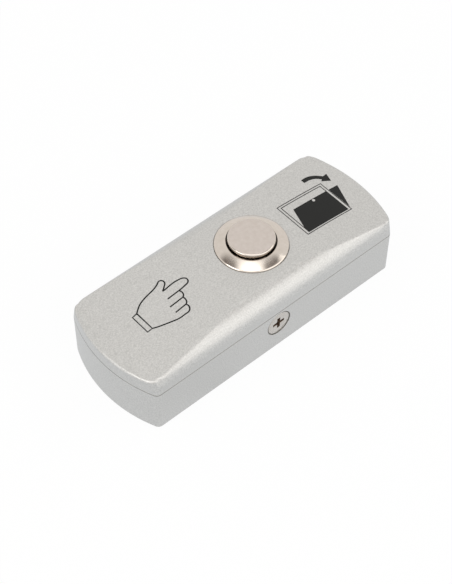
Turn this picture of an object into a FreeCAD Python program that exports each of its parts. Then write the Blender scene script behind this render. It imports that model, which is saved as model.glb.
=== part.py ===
import FreeCAD, Part
import math
import os
import Sketcher

# Surface-mounted door exit button: a die-cast box and crowned cover with a metal push button.
# X runs along the length, -Y is the front long side, +Z points out of the wall.
# The origin is the middle of the back face, which lies on the wall.

document = FreeCAD.newDocument("door_exit_button")

# Driving sizes in millimetres
driving_sizes = {
    # outer form of the box and its cover
    "body_length": 83.0,
    "body_width": 32.0,
    "end_bulge": 3.6,
    "corner_radius": 1.6,
    "seam_level": 13.0,
    "end_level": 16.8,
    "crown_level": 20.4,
    "crease_level": 15.4,
    "roll_radius": 6.0,
    "roll_rise": 0.1,
    "edge_round": 0.8,
    "seam_chamfer": 0.12,
    "overcut": 6.0,
    # walls
    "box_wall": 2.2,
    "box_floor": 2.0,
    "cover_wall": 2.4,
    "inner_corner_radius": 0.8,
    "back_chamfer": 0.4,
    # locating lip of the cover
    "lip_depth": 1.5,
    "lip_root": 2.0,
    "lip_thickness": 1.2,
    "lip_clearance": 0.25,
    # wall fixing and cable entry in the floor of the box
    "wall_screw_pitch": 60.0,
    "wall_screw_hole": 4.3,
    "wall_screw_head": 8.4,
    "wall_boss_diameter": 11.0,
    "wall_boss_height": 1.0,
    "cable_entry_diameter": 14.0,
    "cable_entry_offset": 14.5,
    "cable_rim_width": 1.3,
    "cable_rim_height": 1.0,
    # side screws that hold the cover
    "side_screw_level": 8.8,
    "side_screw_diameter": 3.0,
    "side_screw_length": 6.2,
    "side_head_diameter": 6.0,
    "side_head_rim": 0.3,
    "side_head_cone": 1.4,
    "side_recess_diameter": 7.3,
    "side_recess_depth": 0.4,
    "cross_width": 0.9,
    "cross_span": 3.3,
    "cross_depth": 1.1,
    "cross_taper": 12.0,
    "fit_clearance": 0.1,
    "lug_width": 9.0,
    "lug_thickness": 3.3,
    "lug_foot_level": 5.2,
    # push button: place, flange and bezel
    "button_offset": 5.0,
    "seat_sink": 0.6,
    "gasket_thickness": 0.4,
    "gasket_width": 0.8,
    "seat_gap": 0.15,
    "inner_seat_drop": 2.8,
    "inner_seat_margin": 3.5,
    "flange_overhang": 1.2,
    "flange_edge": 0.35,
    "bezel_height": 1.55,
    "bezel_rim_width": 0.3,
    # barrel
    "barrel_diameter": 16.0,
    "barrel_length": 13.4,
    "barrel_wall": 1.15,
    "barrel_chamfer": 0.4,
    "shoulder_depth": 1.6,
    # cap
    "cap_inset": 0.9,
    "cap_gap": 0.35,
    "cap_rise": 1.35,
    "cap_round": 0.45,
    "cap_wall": 1.25,
    "cap_top_thickness": 1.5,
    "collar_clearance": 0.3,
    "collar_thickness": 1.2,
    "travel": 1.2,
    "seal_section": 0.8,
    "seal_level": 0.2,
    "seal_slack": 0.02,
    "seal_groove_depth": 0.6,
    # plunger, return spring and guide plate
    "stem_share": 0.54,
    "tip_share": 0.7,
    "tip_overhang": 0.3,
    "spring_clearance": 0.7,
    "spring_wire": 0.6,
    "spring_length": 5.6,
    "spring_turns": 4.0,
    "spring_wire_sides": 6.0,
    "guide_thickness": 0.9,
    "guide_clearance": 0.3,
    # contacts
    "bridge_drop": 0.3,
    "bridge_end_gap": 1.1,
    "bridge_width": 3.2,
    "strip_thickness": 0.5,
    "clip_thickness": 0.4,
    "rivet_diameter": 1.5,
    "rivet_shank": 0.9,
    "rivet_head": 0.3,
    "rivet_inset": 1.1,
    "contact_gap": 0.05,
    # contact block and its retaining ring
    "block_wall": 1.05,
    "shoulder_floor": 1.0,
    "post_step": 0.85,
    "post_floor": 3.0,
    "tip_relief": 0.9,
    "ring_thickness": 0.6,
    "ring_bite": 0.35,
    "ring_gap": 4.0,
    # terminals
    "terminal_width": 3.4,
    "pad_overhang": 1.0,
    "leg_inset": 1.1,
    "lug_inner": 0.6,
    "terminal_screw_diameter": 2.0,
    "terminal_screw_length": 3.4,
    "terminal_head_diameter": 3.3,
    "terminal_head_height": 1.2,
    "slot_width": 0.5,
    "slot_depth": 0.6,
    "clamp_size": 3.4,
    "clamp_thickness": 0.5,
    # nut and lock washer on the barrel
    "nut_wall": 1.5,
    "nut_thickness": 2.4,
    "nut_chamfer": 0.5,
    "washer_width": 1.6,
    "washer_thickness": 0.6,
    "washer_notch": 0.9,
    "washer_teeth": 12.0,
}

sheet = document.addObject("Spreadsheet::Sheet", "sizes")
for row, (alias, value) in enumerate(driving_sizes.items(), 1):
    sheet.set(f"A{row}", alias)
    sheet.set(f"B{row}", str(value))
    sheet.setAlias(f"B{row}", alias)
document.recompute()


class Size:
    """A size worked out from the sheet: its value now, and its expression."""

    def __init__(self, value, text):
        self.value = value
        self.text = text

    def join(self, other, sign, value):
        text = other.text if isinstance(other, Size) else repr(other)
        return Size(value, f"({self.text} {sign} {text})")

    def __add__(self, other):
        return self.join(other, "+", self.value + number(other))

    def __sub__(self, other):
        return self.join(other, "-", self.value - number(other))

    def __mul__(self, other):
        return self.join(other, "*", self.value * number(other))

    def __truediv__(self, other):
        return self.join(other, "/", self.value / number(other))

    def __neg__(self):
        return Size(-self.value, f"(-{self.text})")


def number(size):
    return size.value if isinstance(size, Size) else size


def root(size):
    return Size(math.sqrt(size.value), f"sqrt({size.text})")


def size(alias):
    return Size(driving_sizes[alias], f"sizes.{alias}")


zero = Size(0.0, "0")

# Two lengths nearer to each other than this count as equal
touching = 0.01


def bind(target, path, amount):
    """Tie a property or constraint of an object to a size."""
    target.setExpression(path, amount.text)


# Sketches on the planes of a body
def new_body(label):
    body = document.addObject("PartDesign::Body", label + "_body")
    body.Label = label
    return body


def new_sketch(body, plane, name, level=None, rise=None):
    """Sketch on a plane of the body's own origin, moved along its normal and up within it."""
    sketch = body.newObject("Sketcher::SketchObject", name)
    support = [part for part in body.Origin.OriginFeatures if part.Role == plane][0]
    sketch.AttachmentSupport = [(support, "")]
    sketch.MapMode = "FlatFace"
    if level is not None:
        bind(sketch, "AttachmentOffset.Base.z", level)
    if rise is not None:
        bind(sketch, "AttachmentOffset.Base.y", rise)
    return sketch


def hold(sketch, geometry, point, x, y):
    """Hold one vertex at x and y from the sketch's origin."""
    for kind, amount, axis in (("DistanceX", x, -2), ("DistanceY", y, -1)):
        if amount is zero:
            sketch.addConstraint(Sketcher.Constraint("PointOnObject", geometry, point, axis))
        else:
            held = Sketcher.Constraint(kind, -1, 1, geometry, point, amount.value)
            bind(sketch, f"Constraints[{sketch.addConstraint(held)}]", amount)


def arc_between(start, end, radius, turn):
    """Arc of at most half a turn from start to end, turning left or right."""
    chord = end - start
    middle = (start + end) * 0.5
    height = math.sqrt(max(radius * radius - chord.Length * chord.Length / 4, 0.0))
    left = FreeCAD.Vector(-chord.y, chord.x, 0) * (1 / chord.Length)
    centre = middle + left * (height if turn == "left" else -height)
    first, last = (start, end) if turn == "left" else (end, start)
    angles = [math.atan2(p.y - centre.y, p.x - centre.x) for p in (first, last)]
    return Part.ArcOfCircle(Part.Circle(centre, FreeCAD.Vector(0, 0, 1), radius), *angles)


def outline(sketch, corners):
    """Closed outline. A corner is (x, y), or (x, y, radius, turn) where an arc leaves it."""
    places = [FreeCAD.Vector(corner[0].value, corner[1].value, 0) for corner in corners]
    ends = []
    for index, corner in enumerate(corners):
        start, end = places[index], places[(index + 1) % len(corners)]
        if len(corner) == 2:
            ends.append((sketch.addGeometry(Part.LineSegment(start, end)), 1, 2))
            continue
        arc = sketch.addGeometry(arc_between(start, end, corner[2].value, corner[3]))
        ends.append((arc, 1, 2) if corner[3] == "left" else (arc, 2, 1))
    for index, corner in enumerate(corners):
        edge, before = ends[index], ends[index - 1]
        sketch.addConstraint(Sketcher.Constraint("Coincident", before[0], before[2], edge[0], edge[1]))
        hold(sketch, edge[0], edge[1], corner[0], corner[1])
    for edge, corner in zip(ends, corners):
        if len(corner) == 4:
            held = Sketcher.Constraint("Radius", edge[0], corner[2].value)
            bind(sketch, f"Constraints[{sketch.addConstraint(held)}]", corner[2])
    return sketch


def circle(sketch, x, y, diameter):
    """Circle of a given diameter centred at x and y."""
    centre = FreeCAD.Vector(x.value, y.value, 0)
    drawn = sketch.addGeometry(Part.Circle(centre, FreeCAD.Vector(0, 0, 1), diameter.value / 2))
    hold(sketch, drawn, 3, x, y)
    held = Sketcher.Constraint("Diameter", drawn, diameter.value)
    bind(sketch, f"Constraints[{sketch.addConstraint(held)}]", diameter)
    return sketch


def rectangle(sketch, left, right, bottom, top):
    return outline(sketch, [(left, bottom), (right, bottom), (right, top), (left, top)])


# Features
def pad(body, sketch, height, both_sides=False):
    feature = body.newObject("PartDesign::Pad", sketch.Name + "_pad")
    feature.Profile = sketch
    bind(feature, "Length", height)
    if both_sides:
        feature.SideType = "Symmetric"
    return feature


def pocket(body, sketch, depth=None, upward=False, taper=None):
    """Cut below the sketch, or above it; with no depth, right through on both sides."""
    feature = body.newObject("PartDesign::Pocket", sketch.Name + "_cut")
    feature.Profile = sketch
    if depth is None:
        feature.SideType = "Symmetric"
        feature.Type = "ThroughAll"
        return feature
    bind(feature, "Length", depth)
    feature.Reversed = upward
    if taper is not None:
        bind(feature, "TaperAngle", taper)
    return feature


def revolve(body, sketch, kind="Revolution", axis="V_Axis"):
    """Turn a section about one of its sketch's axes, to add a solid or to cut a groove."""
    feature = body.newObject("PartDesign::" + kind, f"{sketch.Name}_{kind.lower()}")
    feature.Profile = sketch
    feature.ReferenceAxis = (sketch, [axis])
    feature.Angle = 360
    return feature


def turned(label, corners):
    """Body turned about its Z axis from one closed section."""
    body = new_body(label)
    revolve(body, outline(new_sketch(body, "XZ_Plane", label + "_section"), corners))
    return body


def edges_where(feature, test):
    """Names of the edges of a feature that pass a test."""
    return [f"Edge{n}" for n, edge in enumerate(feature.Shape.Edges, 1) if test(edge)]


def is_upright(edge):
    ends = [vertex.Point for vertex in edge.Vertexes]
    return len(ends) == 2 and abs((ends[1] - ends[0]).normalize().z) > 0.999


def dress(body, kind, feature, edges, amount):
    """Fillet or chamfer the named edges of a feature."""
    dressed = body.newObject("PartDesign::" + kind, f"{feature.Name}_{kind.lower()}")
    dressed.Base = (feature, edges)
    bind(dressed, "Radius" if kind == "Fillet" else "Size", amount)
    return dressed


# Outer form, shared by the box, the cover and their hollows
body_length, body_width = size("body_length"), size("body_width")
end_bulge = size("end_bulge")
seam_level, crown_level = size("seam_level"), size("crown_level")
end_radius = (body_width * body_width / 4 + end_bulge * end_bulge) / (end_bulge * 2)
end_centre = body_length / 2 - end_radius
crown_drop = crown_level - size("end_level")
crown_radius = (body_length * body_length / 4 + crown_drop * crown_drop) / (crown_drop * 2)
roll_radius, roll_top = size("roll_radius"), crown_level + size("roll_rise")
roll_centre_level = roll_top - roll_radius
crease_level = size("crease_level")
roll_foot = crease_level - roll_centre_level
roll_centre = body_width / 2 - root(roll_radius * roll_radius - roll_foot * roll_foot)
# how far a cut runs out past the form that it trims
overcut = size("overcut")


def plan_outline(sketch, inset):
    """Plan of the body: straight long sides and arched ends, moved inwards by inset."""
    radius = end_radius - inset
    half_width = body_width / 2 - inset
    half_straight = end_centre + root(radius * radius - half_width * half_width)
    return outline(sketch, [
        (-half_straight, -half_width),
        (half_straight, -half_width, radius, "left"),
        (half_straight, half_width),
        (-half_straight, half_width, radius, "left"),
    ])


def crown_cut(body, inset, name):
    """Cut away what lies above the lengthwise crown, moved inwards by inset."""
    radius = crown_radius - inset
    reach = body_length / 2 + overcut
    clear = crown_level + overcut
    level = crown_level - crown_radius + root(radius * radius - reach * reach)
    sketch = outline(new_sketch(body, "XZ_Plane", name), [
        (reach, level, radius, "left"),
        (-reach, level),
        (-reach, clear),
        (reach, clear),
    ])
    return pocket(body, sketch)


def roll_cut(body, inset, name):
    """Cut the rolled-off long edges, one section on each side, moved inwards by inset."""
    radius = roll_radius - inset
    wall = body_width / 2 - inset
    reach = body_width / 2 + overcut
    clear = crown_level + overcut
    wall_reach = wall - roll_centre
    crease = roll_centre_level + root(radius * radius - wall_reach * wall_reach)
    sketch = new_sketch(body, "YZ_Plane", name)
    outline(sketch, [
        (wall, crease, radius, "left"),
        (roll_centre, roll_top - inset),
        (roll_centre, clear),
        (reach, clear),
        (reach, crease),
    ])
    outline(sketch, [
        (-wall, crease, radius, "right"),
        (-roll_centre, roll_top - inset),
        (-roll_centre, clear),
        (-reach, clear),
        (-reach, crease),
    ])
    return pocket(body, sketch)


def crowned_block(label, inset, bottom, corner_radius, edge_round=None):
    """Solid block with the cover's crowned form, moved inwards by inset."""
    body = new_body(label)
    plan = plan_outline(new_sketch(body, "XY_Plane", label + "_plan", bottom), inset)
    block = pad(body, plan, crown_level - bottom + overcut / 2)
    document.recompute()
    rounded = dress(body, "Fillet", block, edges_where(block, is_upright), corner_radius)
    document.recompute()
    if edge_round is not None:
        foot = edges_where(rounded, lambda edge: edge.BoundBox.ZMax < bottom.value + touching)
        dress(body, "Chamfer", rounded, foot, size("seam_chamfer"))
    crowned = crown_cut(body, inset, label + "_crown")
    document.recompute()
    if edge_round is not None:
        rim = edges_where(crowned, lambda edge: edge.BoundBox.ZMin > crease_level.value)
        dress(body, "Fillet", crowned, rim, edge_round)
    rolled = roll_cut(body, inset, label + "_roll")
    document.recompute()
    if edge_round is not None:
        dress(body, "Fillet", rolled, edges_where(rolled, is_crease), edge_round)
    return body


def is_crease(edge):
    """Long straight edge where the side wall meets the rolled-off edge."""
    levels = edge.BoundBox.ZMin, edge.BoundBox.ZMax
    on_crease = all(abs(level - crease_level.value) < touching for level in levels)
    return on_crease and edge.Length > body_length.value / 2


# Places inside the push button, measured from the underside of its flange
button_offset = size("button_offset")
gasket_thickness = size("gasket_thickness")
cover_seat_level = crown_level - size("seat_sink")
flange_level = cover_seat_level + gasket_thickness
inner_seat_level = crown_level - size("inner_seat_drop")
travel = size("travel")
fit_clearance = size("fit_clearance")

bezel_height = size("bezel_height")
barrel_radius = size("barrel_diameter") / 2
flange_radius = barrel_radius + size("flange_overhang")
bore_radius = barrel_radius - size("barrel_wall")
barrel_bottom = -size("barrel_length")
cap_radius = bore_radius - size("cap_inset")
cap_bore_radius = cap_radius - size("cap_wall")
cap_top = bezel_height + size("cap_rise")
cap_ceiling = cap_top - size("cap_top_thickness")
shoulder = -size("shoulder_depth")
collar_top = shoulder - fit_clearance
collar_bottom = collar_top - size("collar_thickness")
spring_top = shoulder
guide_top = spring_top - size("spring_length")
guide_bottom = guide_top - size("guide_thickness")
strip = size("strip_thickness")
bridge_top = guide_bottom - size("bridge_drop")
bridge_bottom = bridge_top - strip
rivet_head = size("rivet_head")
fixed_rivet_top = bridge_bottom - rivet_head - travel - size("contact_gap")
pad_top = fixed_rivet_top - rivet_head
block_floor = pad_top - strip
block_shoulder = block_floor - size("shoulder_floor")
ring_bottom = block_shoulder - size("ring_thickness")
post_bottom = block_floor - size("post_floor")
clip_bottom = bridge_bottom - size("clip_thickness")
tip_bottom = clip_bottom - size("tip_overhang")

# Radii and offsets inside the push button, from its bore inwards
insert_radius = bore_radius - fit_clearance
post_radius = insert_radius - size("post_step")
chamber_radius = insert_radius - size("block_wall")
spring_radius = cap_bore_radius - size("spring_clearance") - size("spring_wire") / 2
stem_radius = spring_radius * size("stem_share")
tip_radius = stem_radius * size("tip_share")
bridge_half_length = chamber_radius - size("bridge_end_gap")
rivet_offset = bridge_half_length - size("rivet_inset")
rivet_radius = size("rivet_diameter") / 2
leg_offset = chamber_radius - size("leg_inset")
terminal_screw_offset = (size("lug_inner") + leg_offset) / 2


def on_button_axis(part, level=flange_level):
    """Set a part on the push button's axis at a level."""
    bind(part, "Placement.Base.x", button_offset)
    bind(part, "Placement.Base.z", level)
    return part


# Box: die-cast, open towards the cover, with wall fixings and the cable entry in its floor
box_wall, box_floor = size("box_wall"), size("box_floor")
side_screw_level = size("side_screw_level")
side_screw_radius = size("side_screw_diameter") / 2
side_head_radius = size("side_head_diameter") / 2
side_head_rim, side_head_cone = size("side_head_rim"), size("side_head_cone")
side_head_face = body_width / 2 - size("side_recess_depth")


def cut_side_screw_seats(box):
    """Recess, countersink and clearance hole through each long side."""
    recess_radius = size("side_recess_diameter") / 2
    head_radius = side_head_radius + fit_clearance
    hole_radius = side_screw_radius + fit_clearance
    cone_start = side_head_face - side_head_rim
    outside = body_width / 2 + overcut
    inside = body_width / 2 - box_wall * 2
    for side, sign in (("front", -1.0), ("rear", 1.0)):
        section = new_sketch(box, "YZ_Plane", f"{side}_screw_seat", rise=side_screw_level)
        outline(section, [
            (outside * sign, zero),
            (outside * sign, recess_radius),
            (side_head_face * sign, recess_radius),
            (side_head_face * sign, head_radius),
            (cone_start * sign, head_radius),
            ((cone_start - side_head_cone) * sign, hole_radius),
            (inside * sign, hole_radius),
            (inside * sign, zero),
        ])
        revolve(box, section, "Groove", "H_Axis")


def make_box():
    box = new_body("base_box")
    block = pad(box, plan_outline(new_sketch(box, "XY_Plane", "box_plan"), zero), seam_level)
    document.recompute()
    rounded = dress(box, "Fillet", block, edges_where(block, is_upright), size("corner_radius"))
    document.recompute()
    back_edges = edges_where(rounded, lambda edge: edge.BoundBox.ZMax < touching)
    eased = dress(box, "Chamfer", rounded, back_edges, size("back_chamfer"))
    document.recompute()
    seam_edges = edges_where(eased, lambda edge: edge.BoundBox.ZMin > seam_level.value - touching)
    dress(box, "Chamfer", eased, seam_edges, size("seam_chamfer"))
    hollow_plan = plan_outline(new_sketch(box, "XY_Plane", "box_hollow", box_floor), box_wall)
    hollow = pocket(box, hollow_plan, seam_level - box_floor, upward=True)
    document.recompute()
    inner_edges = edges_where(hollow, is_inner_corner)
    dress(box, "Fillet", hollow, inner_edges, size("inner_corner_radius"))

    # raised bosses round the wall-screw holes and a rim round the cable entry
    half_pitch = size("wall_screw_pitch") / 2
    boss_height = size("wall_boss_height")
    bosses = new_sketch(box, "XY_Plane", "wall_bosses", box_floor / 2)
    for x in (half_pitch, -half_pitch):
        circle(bosses, x, zero, size("wall_boss_diameter"))
    pad(box, bosses, box_floor / 2 + boss_height)
    entry = size("cable_entry_diameter")
    entry_x = -size("cable_entry_offset")
    rim = circle(new_sketch(box, "XY_Plane", "cable_rim", box_floor / 2), entry_x, zero,
                 entry + size("cable_rim_width") * 2)
    pad(box, rim, box_floor / 2 + size("cable_rim_height"))
    pocket(box, circle(new_sketch(box, "XY_Plane", "cable_entry"), entry_x, zero, entry))

    # countersunk holes for the wall screws
    hole, head = size("wall_screw_hole"), size("wall_screw_head")
    boss_top = box_floor + boss_height
    holes = new_sketch(box, "XY_Plane", "wall_screw_holes")
    for x in (half_pitch, -half_pitch):
        circle(holes, x, zero, hole)
    pocket(box, holes)
    sink_depth = (head - hole) / 2
    for side, x in (("right", half_pitch), ("left", -half_pitch)):
        section = new_sketch(box, "XZ_Plane", f"{side}_wall_sink")
        bind(section, "AttachmentOffset.Base.x", x)
        outline(section, [
            (zero, boss_top - sink_depth),
            (hole / 2, boss_top - sink_depth),
            (head / 2, boss_top),
            (head / 2, boss_top + boss_height),
            (zero, boss_top + boss_height),
        ])
        revolve(box, section, "Groove")
    cut_side_screw_seats(box)
    return box


def is_inner_corner(edge):
    """Upright edge of the box's hollow, inside its walls."""
    inner_half_width = body_width.value / 2 - box_wall.value
    return is_upright(edge) and abs(abs(edge.Vertexes[0].Point.y) - inner_half_width) < touching


# Cover: die-cast, crowned along its length and rolled off at its long edges
cover_wall = size("cover_wall")


def make_cover():
    cover = crowned_block("cover", zero, seam_level, size("corner_radius"), size("edge_round"))
    core = crowned_block("cover_hollow", cover_wall, seam_level - cover_wall,
                         size("inner_corner_radius"))
    document.recompute()
    hollowed = cover.newObject("PartDesign::Boolean", "cover_hollowed")
    hollowed.Type = "Cut"
    hollowed.Group = [core]

    # locating lip that drops inside the box, with a root that joins it to the wall
    lip_outer = box_wall + size("lip_clearance")
    lip_inner = lip_outer + size("lip_thickness")
    lip_depth, lip_root = size("lip_depth"), size("lip_root")
    rooting = new_sketch(cover, "XY_Plane", "lip_root_plan", seam_level)
    plan_outline(rooting, cover_wall / 2)
    plan_outline(rooting, lip_inner)
    pad(cover, rooting, lip_root)
    lip = new_sketch(cover, "XY_Plane", "lip_plan", seam_level - lip_depth)
    plan_outline(lip, lip_outer)
    plan_outline(lip, lip_inner)
    pad(cover, lip, lip_depth + lip_root / 2)

    # flat seat for the nut under the crown: a boss, faced off where the crown dips below it
    seat_diameter = (barrel_radius + size("inner_seat_margin")) * 2
    seat = circle(new_sketch(cover, "XY_Plane", "nut_seat", inner_seat_level),
                  button_offset, zero, seat_diameter)
    pad(cover, seat, crown_level - inner_seat_level - cover_wall / 2)
    facing = circle(new_sketch(cover, "XY_Plane", "nut_seat_facing", inner_seat_level),
                    button_offset, zero, seat_diameter)
    pocket(cover, facing, cover_wall / 2)

    # tapped lugs for the side screws
    lug_half = size("lug_width") / 2
    lug_foot = size("lug_foot_level")
    lug_top = seam_level + lip_root / 2
    lugs = new_sketch(cover, "XY_Plane", "screw_lugs", lug_foot)
    for sign in (-1.0, 1.0):
        outer = (body_width / 2 - lip_outer) * sign
        inner = (body_width / 2 - lip_outer - size("lug_thickness")) * sign
        rectangle(lugs, -lug_half, lug_half, outer, inner)
    pad(cover, lugs, lug_top - lug_foot)
    tapped = circle(new_sketch(cover, "XZ_Plane", "tapped_holes"), zero, side_screw_level,
                    side_screw_radius * 2 + fit_clearance * 2)
    pocket(cover, tapped)

    # sunk seat and hole for the push button
    sunk = circle(new_sketch(cover, "XY_Plane", "button_seat", cover_seat_level),
                  button_offset, zero, flange_radius * 2 + size("seat_gap") * 2)
    pocket(cover, sunk, overcut, upward=True)
    opening = circle(new_sketch(cover, "XY_Plane", "button_hole", inner_seat_level - cover_wall / 2),
                     button_offset, zero, barrel_radius * 2 + fit_clearance * 2)
    pocket(cover, opening, crown_level - inner_seat_level + cover_wall, upward=True)
    return cover


# Push button: flanged barrel
def make_housing():
    hole_radius = cap_radius + size("cap_gap")
    rim_radius = hole_radius + size("bezel_rim_width")
    groove_radius = bore_radius + size("ring_bite") + fit_clearance
    chamfer = size("barrel_chamfer")
    housing = turned("button_housing", [
        (hole_radius, bezel_height),
        (hole_radius, shoulder),
        (bore_radius, shoulder),
        (bore_radius, block_shoulder + fit_clearance),
        (groove_radius, block_shoulder + fit_clearance),
        (groove_radius, ring_bottom - fit_clearance),
        (bore_radius, ring_bottom - fit_clearance),
        (bore_radius, barrel_bottom),
        (barrel_radius - chamfer, barrel_bottom),
        (barrel_radius, barrel_bottom + chamfer),
        (barrel_radius, zero),
        (flange_radius, zero),
        (flange_radius, size("flange_edge")),
        (rim_radius, bezel_height),
    ])
    return on_button_axis(housing)


# Push button: hollow cap with a collar that stops it under the barrel's shoulder
def make_cap():
    collar_radius = bore_radius - size("collar_clearance")
    groove_radius = cap_radius - size("seal_groove_depth")
    seal_level = size("seal_level")
    groove_half = size("seal_section") / 2 + fit_clearance
    brink_round = size("cap_round")
    cap = turned("button_cap", [
        (zero, cap_ceiling),
        (cap_bore_radius, cap_ceiling),
        (cap_bore_radius, collar_bottom),
        (collar_radius, collar_bottom),
        (collar_radius, collar_top),
        (cap_radius, collar_top),
        (cap_radius, seal_level - groove_half),
        (groove_radius, seal_level - groove_half),
        (groove_radius, seal_level + groove_half),
        (cap_radius, seal_level + groove_half),
        (cap_radius, cap_top - brink_round, brink_round, "left"),
        (cap_radius - brink_round, cap_top),
        (zero, cap_top),
    ])
    return on_button_axis(cap)


# Push button: seal round the cap, and the flat gasket under the flange
def make_cap_seal():
    """Square-cut rubber ring in the cap's groove."""
    inner = cap_radius - size("seal_groove_depth") + size("seal_slack")
    outer = inner + size("seal_section")
    half = size("seal_section") / 2
    level = size("seal_level")
    seal = turned("cap_seal", [
        (inner, level - half),
        (outer, level - half),
        (outer, level + half),
        (inner, level + half),
    ])
    return on_button_axis(seal)


def make_gasket():
    inner = barrel_radius + fit_clearance
    outer = inner + size("gasket_width")
    gasket = turned("flange_gasket", [
        (inner, zero - gasket_thickness),
        (outer, zero - gasket_thickness),
        (outer, zero),
        (inner, zero),
    ])
    return on_button_axis(gasket)


# Push button: plunger, with a shouldered tip that carries the contact bridge
def make_plunger():
    head_radius = cap_bore_radius - fit_clearance
    plunger = turned("plunger", [
        (zero, tip_bottom),
        (tip_radius, tip_bottom),
        (tip_radius, bridge_top),
        (stem_radius, bridge_top),
        (stem_radius, spring_top),
        (head_radius, spring_top),
        (head_radius, cap_ceiling),
        (zero, cap_ceiling),
    ])
    return on_button_axis(plunger)


def make_guide_plate():
    hole = stem_radius + size("guide_clearance")
    guide = turned("guide_plate", [
        (hole, guide_bottom),
        (insert_radius, guide_bottom),
        (insert_radius, guide_top),
        (hole, guide_top),
    ])
    return on_button_axis(guide)


# Return spring: wire swept along a helix between the guide plate and the plunger
def make_spring():
    wire = size("spring_wire")
    coil_height = size("spring_length") - wire
    helix = document.addObject("Part::Helix", "spring_helix")
    bind(helix, "Radius", spring_radius)
    bind(helix, "Height", coil_height)
    bind(helix, "Pitch", coil_height / size("spring_turns"))
    on_button_axis(helix, flange_level + guide_top + wire / 2)
    ring = document.addObject("Part::RegularPolygon", "spring_wire_section")
    bind(ring, "Polygon", size("spring_wire_sides"))
    bind(ring, "Circumradius", wire / 2)
    bind(ring, "Placement.Base.x", button_offset + spring_radius)
    bind(ring, "Placement.Base.z", flange_level + guide_top + wire / 2)
    ring.Placement.Rotation = FreeCAD.Rotation(FreeCAD.Vector(1, 0, 0), 90)
    spring = document.addObject("Part::Sweep", "spring_sweep")
    spring.Label = "return_spring"
    spring.Sections = [ring]
    spring.Spine = (helix, ["Edge1"])
    spring.Solid = True
    spring.Frenet = True
    return spring


# Contact bridge: a brass strip across the plunger's tip, held by a clip, with two rivets
def make_bridge():
    half_width = size("bridge_width") / 2
    bridge = new_body("contact_bridge")
    plan = new_sketch(bridge, "XY_Plane", "bridge_plan", bridge_bottom)
    rectangle(plan, -bridge_half_length, bridge_half_length, -half_width, half_width)
    circle(plan, zero, zero, tip_radius * 2 + fit_clearance * 2)
    for x in (rivet_offset, -rivet_offset):
        circle(plan, x, zero, size("rivet_shank") + fit_clearance)
    pad(bridge, plan, strip)
    return on_button_axis(bridge)


def make_bridge_clip():
    inner = tip_radius + fit_clearance / 2
    outer = rivet_offset - rivet_radius - fit_clearance
    clip = turned("bridge_clip", [
        (inner, clip_bottom),
        (outer, clip_bottom),
        (outer, bridge_bottom),
        (inner, bridge_bottom),
    ])
    return on_button_axis(clip)


def make_rivet_pair(label, face, head_end):
    """Two contact rivets with their shanks in a strip and their heads on one face of it."""
    shank = size("rivet_shank") / 2
    outward = head_end.value > face.value
    shank_end = face - strip if outward else face + strip
    rivet = turned(label + "_right", [
        (zero, shank_end),
        (shank, shank_end),
        (shank, face),
        (rivet_radius, face),
        (rivet_radius, head_end),
        (zero, head_end),
    ])
    bind(rivet, "Placement.Base.x", button_offset + rivet_offset)
    bind(rivet, "Placement.Base.z", flange_level)
    return mirrored_pair(label, rivet, FreeCAD.Vector(1, 0, 0))


def mirrored_pair(label, part, normal):
    """A part and its mirror image across the button's axis or the lengthwise middle plane."""
    twin = document.addObject("Part::Mirroring", label + "_twin")
    twin.Source = part
    twin.Normal = normal
    if normal.x:
        bind(twin, "Base.x", button_offset)
    pair = document.addObject("Part::Compound", label + "_pair")
    pair.Label = label
    pair.Links = [part, twin]
    return pair


# Contact block: moulded cup that closes the barrel, with slots for the terminals
def make_contact_block():
    tip_pocket = tip_radius + size("guide_clearance")
    block = new_body("contact_block")
    section = new_sketch(block, "XZ_Plane", "block_section")
    outline(section, [
        (zero, post_bottom),
        (post_radius, post_bottom),
        (post_radius, block_shoulder),
        (insert_radius, block_shoulder),
        (insert_radius, guide_bottom),
        (chamber_radius, guide_bottom),
        (chamber_radius, block_floor),
        (tip_pocket, block_floor),
        (tip_pocket, block_floor - size("tip_relief")),
        (zero, block_floor - size("tip_relief")),
    ])
    revolve(block, section)
    half_leg = strip / 2 + fit_clearance
    half_width = size("terminal_width") / 2 + fit_clearance
    slots = new_sketch(block, "XY_Plane", "terminal_slots", block_floor)
    holes = new_sketch(block, "XY_Plane", "terminal_screw_holes", post_bottom)
    for sign in (1.0, -1.0):
        leg = leg_offset * sign
        rectangle(slots, leg - half_leg, leg + half_leg, -half_width, half_width)
        circle(holes, terminal_screw_offset * sign, zero,
               size("terminal_screw_diameter") + fit_clearance * 2)
    pocket(block, slots, block_floor - post_bottom)
    thread_depth = size("terminal_screw_length") - strip - size("clamp_thickness") + fit_clearance
    pocket(block, holes, thread_depth, upward=True)
    return on_button_axis(block)


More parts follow.
